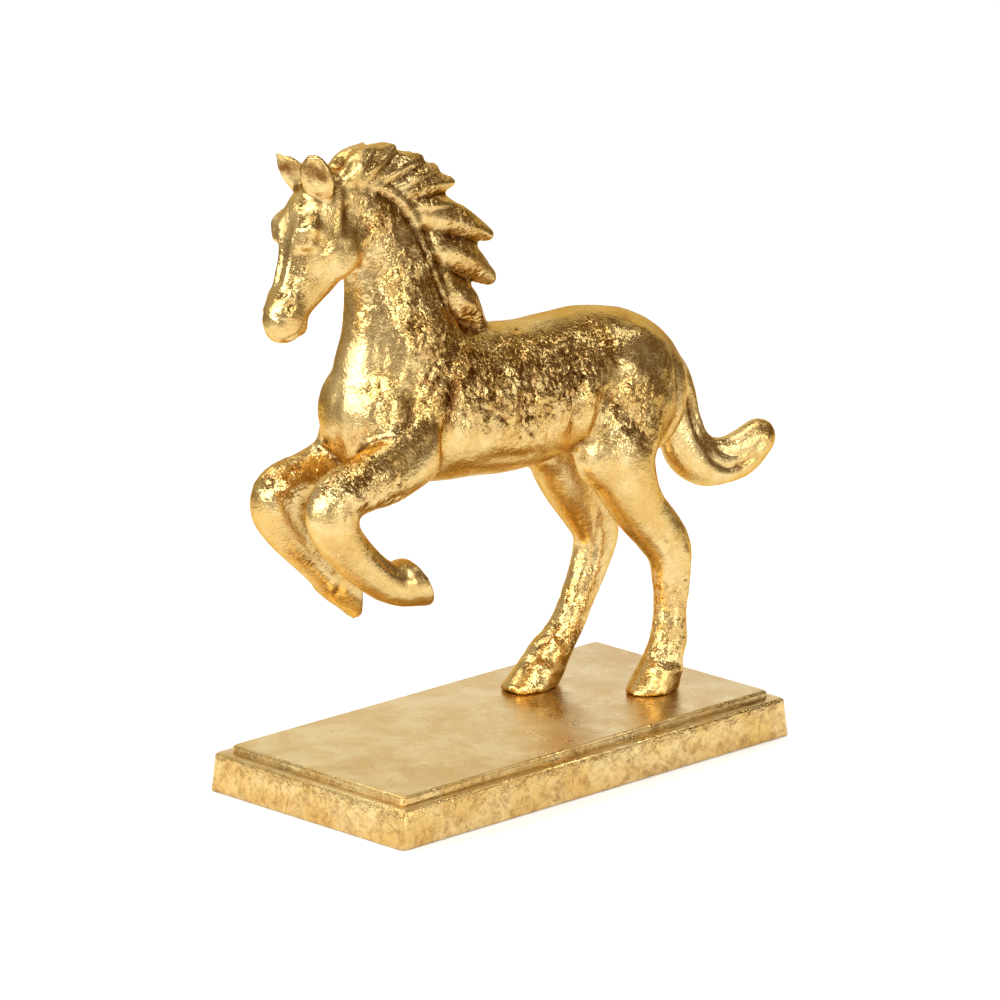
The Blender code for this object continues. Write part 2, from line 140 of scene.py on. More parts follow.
BODY_STROKES = (
    (2.4, 0.7, (-53.5, 7.4, 123.8), (-54.3, 9.0, 113.2), (-56.3, 11.5, 103.1), (-56.3, 12.6, 94.9)),
    (2.6, -0.6, (-47.0, 10.0, 124.0), (-47.6, 12.0, 113.0), (-50.4, 13.2, 103.0)),
    (1.6, 0.45, (-44.9, 13.2, 104.0), (-47.4, 14.0, 96.4), (-51.2, 16.0, 91.0)),
    (0.8, 0.3, (-29.8, 12.6, 111.5), (-37.2, 14.0, 106.0), (-43.6, 14.6, 99.8)),
    (0.8, -0.4, (-31.4, 12.6, 112.4), (-38.2, 13.8, 107.4), (-44.6, 14.2, 101.6)),
    (0.8, 0.3, (-32.9, 12.6, 113.7), (-39.2, 13.4, 109.2), (-45.0, 13.8, 103.8)),
    (0.9, -0.4, (-28.7, 14.0, 108.9), (-34.8, 15.0, 103.8), (-41.6, 15.4, 98.2)),
    (0.9, 0.25, (-28.0, 14.4, 106.6), (-33.4, 15.2, 102.0), (-39.6, 15.6, 96.6)),
    (2.2, 0.5, (-31.9, 15.0, 103.2), (-33.8, 15.4, 97.4), (-36.2, 15.6, 90.5), (-39.4, 16.6, 84.2)),
    (0.6, 0.6, (-27.3, 16.6, 97.4), (-21.3, 17.0, 94.4), (-15.6, 17.0, 90.8), (-11.4, 16.8, 87.5)),
    (0.6, 0.6, (-11.4, 16.8, 88.4), (-7.7, 16.8, 87.2), (-0.7, 15.6, 81.8)),
    (1.8, -0.8, (19.2, 16.6, 97.0), (17.6, 16.8, 89.2), (18.2, 14.8, 81.7), (21.0, 12.4, 74.6)),
    (2.8, 1.1, (22.5, 16.8, 93.6), (28.0, 18.2, 87.0), (33.7, 19.8, 79.4), (39.4, 19.6, 72.2)),
    (3.0, -0.7, (30.0, 14.0, 101.0), (38.0, 16.6, 93.0), (45.0, 17.6, 84.0)),
    (1.4, 0.7, (53.4, 11.4, 97.4), (54.4, 13.2, 91.0), (54.4, 14.0, 84.0), (54.6, 12.4, 75.6)),
    (2.0, 0.6, (-22.0, 15.4, 78.6), (-8.0, 15.0, 76.4), (6.0, 14.4, 76.2)),
    (1.6, 0.6, (-46.0, 15.4, 77.4), (-55.0, 17.6, 77.6), (-64.0, 17.6, 76.8)),
)
NEAR_LEG_STROKES = (
    (1.2, 0.6, (-66.4, -17.0, 66.0), (-58.0, -17.0, 58.4), (-52.4, -17.2, 54.8)),
    (1.4, -0.6, (-79.6, -15.0, 84.4), (-75.0, -18.2, 82.0), (-70.6, -17.0, 77.6)),
    (1.4, 0.4, (-51.6, -16.4, 59.6), (-52.8, -18.0, 53.0), (-51.0, -16.6, 47.0)),
    (1.0, -0.2, (-49.4, -17.0, 59.0), (-50.2, -18.6, 53.0), (-48.6, -17.0, 46.4)),
    (1.2, 0.6, (42.0, -16.2, 49.4), (48.8, -16.6, 42.0), (51.4, -15.6, 34.0), (51.6, -15.4, 22.0)),
    (1.3, -0.6, (55.0, -16.0, 42.0), (57.4, -14.6, 34.0), (57.0, -14.4, 22.0)),
    (1.3, 0.45, (45.4, -11.0, 11.4), (47.6, -16.0, 9.6), (53.0, -17.0, 7.8), (57.6, -13.0, 6.6)),
    (1.0, -0.5, (43.6, -11.0, 8.2), (46.4, -16.6, 6.8), (52.4, -17.8, 5.6), (57.8, -13.0, 4.4)),
)
FAR_LEG_STROKES = (
    (1.2, 0.7, (-52.4, 9.0, 50.0), (-53.6, 8.0, 46.6), (-53.0, 11.0, 41.6)),
    (1.2, 0.6, (-66.0, 9.0, 62.4), (-58.6, 8.8, 54.4), (-54.0, 8.6, 49.6)),
    (1.2, 0.6, (43.0, 8.6, 52.0), (46.6, 8.6, 43.0), (43.6, 9.8, 30.0), (38.0, 9.8, 19.0)),
    (1.4, 0.5, (24.6, 18.6, 11.0), (25.8, 9.0, 10.0), (32.6, 8.0, 6.4), (38.6, 9.6, 4.0)),
    (1.0, -0.5, (22.6, 18.0, 8.2), (24.0, 9.0, 7.2), (30.6, 7.6, 3.8)),
)
TAIL_STROKES = (
    (1.1, 1.0, (58.2, -8.6, 95.9), (66.4, -6.2, 82.8), (68.6, -6.9, 72.0), (70.9, -9.2, 64.3)),
    (1.1, 1.2, (70.9, -9.2, 64.3), (75.2, -10.6, 59.6), (80.3, -11.4, 57.2), (88.4, -12.4, 59.8)),
    (1.0, 1.0, (75.0, -8.0, 65.0), (79.0, -10.2, 61.4), (84.0, -11.6, 60.8), (87.6, -11.8, 62.6)),
    (0.7, 0.6, (68.2, -5.0, 83.2), (70.0, -5.8, 75.1), (71.6, -7.0, 69.6), (77.0, -8.0, 64.6)),
    (0.9, -0.6, (92.6, -12.4, 66.0), (91.4, -12.4, 62.6), (88.6, -12.2, 60.2)),
    (1.1, 1.0, (62.0, 5.6, 90.0), (68.4, 4.0, 78.2), (69.2, 3.4, 70.6), (74.0, 1.6, 61.6)),
    (1.1, 1.0, (74.0, 1.6, 61.6), (82.0, -0.6, 58.4), (90.0, -2.8, 61.6)),
)
CREST_STROKE = (
    (-62.0, 7.0, 162.6),
    (-49.0, 7.0, 159.0),
    (-39.8, 7.0, 150.9),
    (-34.2, 7.0, 141.6),
    (-28.6, 7.0, 129.6),
    (-24.9, 7.0, 120.6),
    (-17.3, 7.0, 113.6),
)
CREST_HALF_WIDTH = 0.85
CREST_HEIGHT = 0.6
CREST_GROOVE = (1.5, 1.2)
CREST_GROOVE_SHARE = 0.6

# A stroke's path: points for each corner, rounds of easing, reach in half widths, and how its ends fade
PATH_STEPS = 8
PATH_EASING = 16
PATH_REACH = 3
PATH_FADE = 0.22
PATH_LEAST = 0.12

# Guards against dividing by nought
LEAST_SQUARE = 1e-14
LEAST_SPREAD = 1e-9

# Ears, near then far: the middle of the hollow from its foot to its head, its half width and depth
EAR_STROKES = (
    (2.5, 1.0, (-73.6, -4.5, 161.6), (-75.4, -5.6, 165.4), (-76.6, -6.4, 169.0), (-77.2, -6.8, 172.0)),
    (2.2, 1.0, (-71.8, 5.2, 162.4), (-73.8, 6.2, 165.6), (-75.6, 7.4, 168.6), (-76.8, 8.4, 171.4)),
)

# Where the ears are darker brown inside, a painted shade in their hollows, as x, y outwards, z, radius and
# share
EAR_PAINTED_SHADE = (
    (-76.6, 5.9, 167.0, 4.2, 0.72),
    (-75.0, 6.8, 167.0, 3.2, 0.72),
)

# Where the leaf is crumpled, written in the same way
CRUMPLED_PATCHES = (
    (-35.0, 10.0, 118.0, 13.0, 1.0),
    (-33.0, 13.0, 104.0, 12.0, 1.0),
    (-22.0, 15.0, 104.0, 16.0, 1.0),
    (-6.0, 15.0, 98.0, 17.0, 1.0),
    (10.0, 15.0, 98.0, 14.0, 1.0),
    (25.0, 13.0, 105.0, 9.0, 0.6),
    (33.0, 17.0, 84.0, 12.0, 0.8),
    (48.0, 13.0, 92.0, 8.0, 0.4),
    (-72.0, 12.0, 84.0, 11.0, 0.8),
    (-60.0, 14.0, 80.0, 8.0, 0.8),
    (52.0, 12.0, 20.0, 16.0, 0.5),
    (36.0, 14.0, 22.0, 18.0, 0.5),
    (-38.0, 8.0, 134.0, 12.0, 1.0),
    (-50.0, 7.0, 150.0, 10.0, 0.9),
    (-49.0, 8.0, 130.0, 13.0, 0.45),
)

# Where the leaf glints and keeps its form: the mane, the chest, the knees and the face
GLINTING_PATCHES = (
    (-34.0, 5.0, 158.0, 9.0, 0.75),
    (-20.0, 5.0, 143.0, 9.0, 0.75),
    (-18.0, 5.0, 130.0, 9.0, 0.75),
    (-16.0, 5.0, 120.0, 7.0, 0.75),
    (-53.0, 12.0, 100.0, 13.0, 0.36),
    (-74.0, 14.0, 78.0, 8.0, 0.4),
    (-82.0, 3.0, 140.0, 10.0, 0.3),
)
LEAST_GLINT = 0.12

# A patch's level at its middle, before it is cut off at 1, and how much it falls over its radius
PATCH_LEVEL = 1.45
PATCH_FALL = 1.1

# Relief of the skin: sizes in metres, and how much finer the crumples are along x, y and z
WAVE_SIZE = 0.011
CRUMPLE_SIZE = 0.0027
CRUMPLE_OCTAVES = 3
CRUMPLE_GRAIN = np.array((1.1, 1.0, 0.85))

# Hollows of the skin: rounds of easing that they are measured against, and the depth of a full hollow
HOLLOW_ROUNDS = 25
HOLLOW_DEPTH = 0.0007

# The plinth: height of its ledge, its worn edges, the inset of its upper step and margins of height
LEDGE_HEIGHT = 0.0107
EDGE_WEAR = 0.00025
EDGE_ANGLE = math.radians(35)
SMOOTH_ANGLE = math.radians(40)
STEP_INSET = 0.0025
HEIGHT_MARGIN = 0.0001
LEDGE_MARGIN = 0.0006

# How crumpled the plinth is above and below, and how far its wall, ledge, top and sides count as hollow and
# so are darkened: painted shade on the riser of the upper step and in the crease at its foot, none on the
# top, and the sides a little darker
UPPER_CRUMPLED = 0.1
LOWER_CRUMPLED = 0.6
WALL_PAINTED_SHADE = 0.45
LEDGE_FOOT_PAINTED_SHADE = 0.3
TOP_HOLLOW = 0.0
SIDE_DARKENING = 0.16

# Facets of the crumpled leaf: scale and share of each size, how steep they are and how much they warp
FACETS = ((370.0, 1.0), (800.0, 0.55))
FACET_STEEPNESS = 900.0
FACET_CONTRAST = 3.0
FACET_LEAST = 0.35
FACET_WARP = (0.0034, 0.0034, 0.0034)
MIDDLE_GREY = (0.5, 0.5, 0.5)
ROUGH_SHARE = 0.8

# How much hollows (as painted shade), mottle, fine noise, crumples and the wear setting each add to the brown
# wear of the leaf
WEAR_AND_SHADE_SHARES = (0.42, 0.62, 0.2, 0.13, 0.2)

# The share of the brown glaze in the colour, which is partly painted dark reflection on the crumpled patches,
# how fast crumples end the even, rubbed leaf, and the scale of the pits
GLAZE_AND_REFLECTION_SHARE = 0.6
EVEN_FALL = 2.4
PIT_SCALE = 620.0

# How much rougher the rubbed, even leaf is, and how much the facets differ
MATTE_ROUGHNESS = 0.17
GLINT_ROUGHNESS = 0.06

# The finish of each piece: shares of stain, wear, pits and grain, height of its relief, and roughness
HORSE_FINISH = {
    "stain": 0.28,
    "wear": 0.38,
    "pits": 0.6,
    "grain": 0.16,
    "bump": 0.0008,
    "smooth_roughness": 0.135,
    "worn_roughness": 0.24,
}
PLINTH_FINISH = {
    "stain": 0.06,
    "wear": 0.22,
    "pits": 0.9,
    "grain": 0.5,
    "bump": 0.0002,
    "smooth_roughness": 0.17,
    "worn_roughness": 0.34,
}

# Soft lights: azimuth and elevation seen from the horse in degrees, distance, width, height and radiance
SOFT_LIGHTS = (
    ("left softbox", 187.0, 20.0, 1.3, 1.5, 0.72, 4.4),
    ("upper softbox", 248.0, 43.0, 1.8, 0.95, 0.75, 5.5),
    ("low softbox", 276.0, 4.6, 1.8, 0.85, 0.42, 4.2),
    ("top softbox", 60.0, 84.0, 1.5, 1.1, 1.1, 2.1),
    ("side softbox", 303.0, 7.0, 1.9, 0.85, 0.4, 0.85),
    ("hip softbox", 333.0, 42.0, 1.7, 0.34, 0.3, 5.0),
    ("mane softbox", 112.0, 57.0, 1.6, 0.6, 0.45, 4.0),
)
LIGHTS_AIM = Vector((0.0, 0.0, 0.09))

# Light on the floor behind, which the gold doesn't mirror
FLOOR_WASH = ("floor wash", 45.0, 55.0, 1.9, 1.6, 1.3, 2.0)

# Broad glows of the room: azimuth, elevation and half angle in degrees, radiance
ROOM_GLOWS = (
    (50.0, 8.0, 38.0, 1.0),
    (238.0, 0.0, 56.0, 0.42),
    (115.0, 20.0, 34.0, 0.5),
)

# A glow begins at the outer share of its half angle and is in full at the inner share
GLOW_OUTER = 1.3
GLOW_INNER = 0.65

# The colours of the room away from its glows and inside them
ROOM_DARK = (0.17, 0.11, 0.06)
ROOM_WHITE = (1.0, 0.985, 0.96)

# Floor: where it fades, the way to its front, its two tones (the grey one a painted shade standing in for the
# dark room that the gold mirrors), its finish, and its gap under the plinth
FLOOR_FADE = (0.25, 0.44)
FLOOR_FRONT = math.radians(208.0)
FLOOR_WHITE = (0.94, 0.955, 0.98)
FLOOR_PAINTED_SHADE = (0.3, 0.27, 0.24)
FLOOR_ROUGHNESS = 0.7
FLOOR_SHINE = 0.1
FLOOR_GAP = 0.0002

# The camera aims at this height over the ground, and so far left and down in the picture, in metres
AIM_HEIGHT = 0.0792
AIM_LEFT = 0.000693
AIM_DOWN = 0.004554
FARTHEST_SEEN = 50.0


class GiltSettings(bpy.types.PropertyGroup):
    leaf: FloatVectorProperty(
        name="Leaf",
        description="Colour of the gold leaf",
        subtype="COLOR",
        size=3,
        default=(0.7, 0.475, 0.16),
    )
    pale: FloatVectorProperty(
        name="Pale leaf",
        description="Colour of the palest leaf",
        subtype="COLOR",
        size=3,
        default=(0.79, 0.61, 0.28),
    )
    # The brown of worn leaf, which also paints shade in the hollows
    worn: FloatVectorProperty(
        name="Worn leaf",
        description="Brown of the worn leaf",
        subtype="COLOR",
        size=3,
        default=(0.2, 0.085, 0.02),
    )
    rim: FloatVectorProperty(
        name="Rim",
        description="Tint of the leaf seen along its surface",
        subtype="COLOR",
        size=3,
        default=(0.8, 0.58, 0.3),
    )
    flat_rim: FloatVectorProperty(
        name="Plinth rim",
        description="The same on the plinth",
        subtype="COLOR",
        size=3,
        default=(1.0, 0.98, 0.94),
    )
    # A brown glaze, also painted as dark reflection on the crumpled patches
    glaze_and_reflection: FloatVectorProperty(
        name="Glaze and dark reflection",
        description="Brown glaze over the crumpled leaf",
        subtype="COLOR",
        size=3,
        default=(0.5, 0.26, 0.07),
    )


class CarvingSettings(bpy.types.PropertyGroup):
    grain: FloatProperty(
        name="Grain", description="Size of the finest form", default=0.00075, min=0.0003, unit="LENGTH"
    )
    easing: IntProperty(
        name="Easing", description="Rounds of smoothing over the facets", default=20, min=0, max=80
    )
    crumple: FloatProperty(
        name="Crumple",
        description="Height of the crumples of the leaf",
        default=0.0001,
        min=0.0,
        unit="LENGTH",
    )
    wave: FloatProperty(
        name="Wave",
        description="Height of the slow waves of the casting",
        default=0.0003,
        min=0.0,
        unit="LENGTH",
    )


class StudioSettings(bpy.types.PropertyGroup):
    azimuth: FloatProperty(
        name="Azimuth",
        description="Way that the camera looks from",
        subtype="ANGLE",
        default=math.radians(-44.61),
    )
    elevation: FloatProperty(
        name="Elevation",
        description="How far the camera looks down",
        subtype="ANGLE",
        default=math.radians(15.64),
    )
    distance: FloatProperty(name="Distance", description="Camera to horse", default=2.2943, unit="LENGTH")
    lens: FloatProperty(name="Lens", description="Focal length in millimetres", default=304.4)
    floor_size: FloatProperty(name="Floor", description="Side of the floor", default=9.0, unit="LENGTH")


def choose_only(obj):
    """Makes obj the one selected and active object."""
    bpy.ops.object.select_all(action="DESELECT")
    obj.select_set(True)
    bpy.context.view_layer.objects.active = obj


def apply_modifiers(obj):
    choose_only(obj)
    for modifier in list(obj.modifiers):
        bpy.ops.object.modifier_apply(modifier=modifier.name)


def spline(rows, steps):
    """Points of a smooth curve through the rows."""
    rows = np.asarray(rows, float)
    if len(rows) < 2:
        return rows
    padded = np.vstack([2 * rows[0] - rows[1], rows, 2 * rows[-1] - rows[-2]])
    found = []
    for i in range(len(rows) - 1):
        before, start, end, after = padded[i : i + 4]
        for t in np.arange(steps) / steps:
            found.append(
                0.5
                * (
                    2 * start
                    + (end - before) * t
                    + (2 * before - 5 * start + 4 * end - after) * t**2
                    + (3 * start - before - 3 * end + after) * t**3
                )
            )
    found.append(rows[-1])
    return np.array(found)


def to_world(points):
    """Points of the drawing, in metres in the model's frame."""
    return np.asarray(points, float) * DRAWN_UNIT + GROUND_POINT


def to_drawing(points):
    """Points of the model's frame, in units of the drawing."""
    return (points - GROUND_POINT) / DRAWN_UNIT


def mesh_arrays(mesh):
    """The mesh's points, its normals and its edges."""
    count = len(mesh.vertices)
    points = np.empty(count * 3)
    normals = np.empty(count * 3)
    edges = np.empty(len(mesh.edges) * 2, int)
    mesh.vertices.foreach_get("co", points)
    mesh.vertices.foreach_get("normal", normals)
    mesh.edges.foreach_get("vertices", edges)
    return points.reshape(-1, 3), normals.reshape(-1, 3), edges.reshape(-1, 2)


def put_points(mesh, points):
    mesh.vertices.foreach_set("co", points.astype(np.float32).ravel())
    mesh.update()


def relaxed(values, edges, rounds, shares=(0.5,)):
    """Values moved towards the mean of their neighbours, round after round, by each share in turn."""
    count = len(values)
    ends = np.concatenate((edges[:, 0], edges[:, 1]))
    others = np.concatenate((edges[:, 1], edges[:, 0]))
    neighbours = np.maximum(np.bincount(ends, minlength=count), 1)
    values = values.copy()
    for turn in range(rounds):
        for share in shares:
            mean = np.empty_like(values)
            for column in range(values.shape[1]):
                total = np.bincount(ends, weights=values[others, column], minlength=count)
                mean[:, column] = total / neighbours
            values += share * (mean - values)
    return values


class Carver:
    """Presses strokes into a mesh, or raises them, along its normals."""

    def __init__(self, mesh):
        self.mesh = mesh
        self.points, self.normals = mesh_arrays(mesh)[:2]
        self.tree = BVHTree.FromPolygons(
            [Vector(p) for p in self.points], [tuple(f.vertices) for f in mesh.polygons]
        )
        self.depth = np.zeros(len(self.points))

    def stroke(self, half_width, depth, corners):
        """One stroke through corners of the drawing, set down on the surface and fading at both ends."""
        places = spline(to_world(corners), PATH_STEPS)
        path = np.array([self.tree.find_nearest(Vector(place))[0] for place in places])
        for turn in range(PATH_EASING):
            path[1:-1] = 0.5 * path[1:-1] + 0.25 * (path[:-2] + path[2:])
        reach = half_width * DRAWN_UNIT
        low = path.min(axis=0) - PATH_REACH * reach
        high = path.max(axis=0) + PATH_REACH * reach
        near = np.nonzero(((self.points > low) & (self.points < high)).all(axis=1))[0]
        if not len(near):
            return
        touched = self.points[near]
        best = np.full(len(near), np.inf)
        along = np.zeros(len(near))
        pieces = max(len(path) - 1, 1)
        for i in range(len(path) - 1):
            span = path[i + 1] - path[i]
            length = max(span @ span, LEAST_SQUARE)
            share = np.clip((touched - path[i]) @ span / length, 0, 1)
            gap = np.linalg.norm(touched - path[i] - share[:, None] * span, axis=1)
            closer = gap < best
            best[closer] = gap[closer]
            along[closer] = (i + share[closer]) / pieces
        ends = np.clip(np.minimum(along, 1 - along) / PATH_FADE, PATH_LEAST, 1)
        self.depth[near] += depth * DRAWN_UNIT * ends * np.exp(-((best / reach) ** 2))

    def both_sides(self, half_width, depth, corners, middle=0.0):
        for side in (-1, 1):
            self.stroke(half_width, depth, [(x, middle + side * y, z) for x, y, z in corners])

    def finish(self):
        put_points(self.mesh, self.points - self.depth[:, None] * self.normals)


def merged_copy(node, name):
    """A copy of a CAD node's mesh with its corners merged."""
    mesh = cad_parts[node].data.copy()
    mesh.name = name
    obj = bpy.data.objects.new(name, mesh)
    bpy.context.scene.collection.objects.link(obj)
    merged = bmesh.new()
    merged.from_mesh(mesh)
    bmesh.ops.remove_doubles(merged, verts=merged.verts, dist=MERGE_DISTANCE)
    merged.to_mesh(mesh)
    merged.free()
    mesh.materials.clear()
    return obj


def dense_copy(node, name, grain, easing):
    """A copy of a CAD node's mesh as one even skin, with its facets eased away."""
    obj = merged_copy(node, name)
    skin = obj.modifiers.new("skin", "REMESH")
    skin.mode = "VOXEL"
    skin.voxel_size = grain
    apply_modifiers(obj)
    points, _, edges = mesh_arrays(obj.data)
    put_points(obj.data, relaxed(points, edges, easing, EASING_SHARES))
    return obj


def leaf_profile(offset):
    """A leaf's height across its width: a ridge with a valley on both sides, and a fine upper rim."""
    above = np.clip((offset - LEAF_RIDGE) / (1 - LEAF_RIDGE), 0, 1)
    below = np.clip((LEAF_RIDGE - offset) / (1 + LEAF_RIDGE), 0, 1)
    rim_place, rim_width, rim_height = LEAF_RIM
    rim = rim_height * np.exp(-(((offset - rim_place) / rim_width) ** 2))
    return 1 - above**LEAF_UPPER_CURVE - below**LEAF_LOWER_CURVE - LEAF_VALLEY + rim


def shape_leaves(mesh):
    """Gives each leaf of the mane its own ridge and flanks."""
    points, normals = mesh_arrays(mesh)[:2]
    drawn = to_drawing(points)
    flat = drawn[:, (0, 2)]
    nearest = np.full(len(flat), np.inf)
    raised = np.zeros(len(flat))
    for root, middle, tip, half_depth in LOCKS:
        line = spline((root, middle, tip), LEAF_STEPS)
        fullness = np.interp(np.linspace(0, 2, len(line)), (0, 1, 2), LEAF_FULLNESS) * half_depth
        for i in range(len(line) - 1):
            span = line[i + 1] - line[i]
            length = np.linalg.norm(span)
            away = flat - line[i]
            share = away @ span / length**2
            held = np.clip(share, 0, 1)
            half = fullness[i] + held * (fullness[i + 1] - fullness[i])
            offset = (span[0] * away[:, 1] - span[1] * away[:, 0]) / length / half
            beyond = np.abs(share - held) * length / half
            distance = np.hypot(offset, beyond)
            along = (i + held) / (len(line) - 1)
            tip_fade = np.clip(LEAF_END_SLOPE * (LEAF_END - along), 0, 1)
            strength = np.clip(along / LEAF_START, 0, 1) * tip_fade
            closer = distance < nearest
            nearest[closer] = distance[closer]
            raised[closer] = (leaf_profile(offset) * strength)[closer]
    edge_fade = np.clip(LEAF_EDGE_SLOPE * (LEAF_EDGE - nearest), 0, 1)
    fade = edge_fade * np.clip((np.abs(drawn[:, 1]) - MANE_MIDDLE) / MANE_FADE, 0, 1)
    sideways = np.abs(normals[:, 1]) ** SIDE_CURVE
    lift = LEAF_HEIGHT * DRAWN_UNIT * raised * fade * sideways
    moved = points.copy()
    moved[:, 1] += np.sign(drawn[:, 1]) * lift
    put_points(mesh, moved)


def carve_crest(carver):
    """The raised line that the leaves grow from, with a groove on both sides of it."""
    carver.both_sides(CREST_HALF_WIDTH, -CREST_HEIGHT, CREST_STROKE)
    for step in (-1, 1):
        beside = [(x + step * CREST_GROOVE[0], y, z + step * CREST_GROOVE[1]) for x, y, z in CREST_STROKE]
        carver.both_sides(CREST_HALF_WIDTH, CREST_GROOVE_SHARE * CREST_HEIGHT, beside)


def carve_horse(mesh):
    shape_leaves(mesh)
    carver = Carver(mesh)
    carve_crest(carver)
    for half_width, depth, *corners in HEAD_STROKES:
        carver.both_sides(half_width, depth, corners, HEAD_MIDDLE)
    for half_width, depth, *corners in BODY_STROKES:
        carver.both_sides(half_width, depth, corners)
    for half_width, depth, *corners in NEAR_LEG_STROKES + FAR_LEG_STROKES + TAIL_STROKES + EAR_STROKES:
        carver.stroke(half_width, depth, corners)
    carver.finish()


def patch_share(points, patches):
    """How much of the patches lies on each point, from 0 to 1."""
    drawn = to_drawing(points)
    drawn[:, 1] = np.abs(drawn[:, 1])
    share = np.zeros(len(points))
    for x, y, z, radius, most in patches:
        gap = np.linalg.norm(drawn - np.array((x, y, z)), axis=1) / radius
        share = np.maximum(share, most * np.clip(PATCH_LEVEL - PATCH_FALL * gap, 0, 1))
    return share


def point_attribute(mesh, name, values):
    attribute = mesh.attributes.get(name) or mesh.attributes.new(name, "FLOAT", "POINT")
    attribute.data.foreach_set("value", values.astype(np.float32))


def hollow_share(mesh, rounds, depth):
    """How far each point lies below its eased surroundings: 1 at the depth given, below 0 on a ridge."""
    points, normals, edges = mesh_arrays(mesh)
    below = ((relaxed(points, edges, rounds) - points) * normals).sum(axis=1)
    return np.clip(below / depth, -1, 1)


def creased(points, size, octaves):
    """Creases of hammered leaf at each point, about as large as size, with a mean of 0."""
    found = np.array([noise.turbulence(Vector(p), octaves, True) for p in points / size])
    return (found - found.mean()) / max(found.std(), LEAST_SPREAD)


def waved(points, size):
    return np.array([noise.noise(Vector(p)) for p in points / size])


def set_on_plinth(mesh):
    """Keeps the points within the CAD node's box, and brings the soles down to the top of the plinth."""
    points = np.clip(mesh_arrays(mesh)[0], np.array(HORSE_LOW), np.array(HORSE_HIGH))
    sole = np.clip(1 - (points[:, 2] - GROUND) / SOLE_REACH, 0, 1)
    points[:, 2] -= (GROUND - PLINTH_HIGH.z) * sole
    put_points(mesh, points)


def attribute_value(tree, name):
    """The value of a point attribute of the piece."""
    node = tree.nodes.new("ShaderNodeAttribute")
    node.attribute_name = name
    return node.outputs["Fac"]


def vector_node(tree, operation, *values):
    """A vector math node, whose inputs are sockets or fixed vectors."""
    node = tree.nodes.new("ShaderNodeVectorMath")
    node.operation = operation
    for socket, value in zip(node.inputs, values):
        if isinstance(value, bpy.types.NodeSocket):
            tree.links.new(value, socket)
        else:
            socket.default_value = value
    return node


def cell_node(tree, vector, scale):
    node = tree.nodes.new("ShaderNodeTexVoronoi")
    node.inputs["Scale"].default_value = scale
    tree.links.new(vector, node.inputs["Vector"])
    return node


def math_node(tree, operation, first, second=0.0, clamp=False):
    node = tree.nodes.new("ShaderNodeMath")
    node.operation = operation
    node.use_clamp = clamp
    for index, value in enumerate((first, second)):
        if isinstance(value, (int, float)):
            node.inputs[index].default_value = value
        else:
            tree.links.new(value, node.inputs[index])
    return node.outputs[0]


def ramp(tree, value, low, high):
    """0 below low, 1 above high and smooth between."""
    node = tree.nodes.new("ShaderNodeMapRange")
    node.interpolation_type = "SMOOTHSTEP"
    node.inputs["From Min"].default_value = low
    node.inputs["From Max"].default_value = high
    tree.links.new(value, node.inputs["Value"])
    return node.outputs["Result"]


def noise_node(tree, vector, scale, detail=4.0, roughness=0.55, distortion=0.0):
    node = tree.nodes.new("ShaderNodeTexNoise")
    node.inputs["Scale"].default_value = scale
    node.inputs["Detail"].default_value = detail
    node.inputs["Roughness"].default_value = roughness
    node.inputs["Distortion"].default_value = distortion
    tree.links.new(vector, node.inputs["Vector"])
    return node


def colour_mix(tree, share, first, second):
    node = tree.nodes.new("ShaderNodeMix")
    node.data_type = "RGBA"
    tree.links.new(share, node.inputs["Factor"])
    for socket, value in ((node.inputs["A"], first), (node.inputs["B"], second)):
        if isinstance(value, tuple):
            socket.default_value = (*value, 1.0)
        else:
            tree.links.new(value, socket)
    return node.outputs["Result"]


def new_group(name, inputs, outputs):
    """A node group with its sockets, and its input and output nodes."""
    tree = bpy.data.node_groups.new(name, "ShaderNodeTree")
    for label, kind, value in inputs:
        socket = tree.interface.new_socket(name=label, in_out="INPUT", socket_type=kind)
        if value is not None:
            socket.default_value = value
    for label, kind in outputs:
        tree.interface.new_socket(name=label, in_out="OUTPUT", socket_type=kind)
    return tree, tree.nodes.new("NodeGroupInput"), tree.nodes.new("NodeGroupOutput")


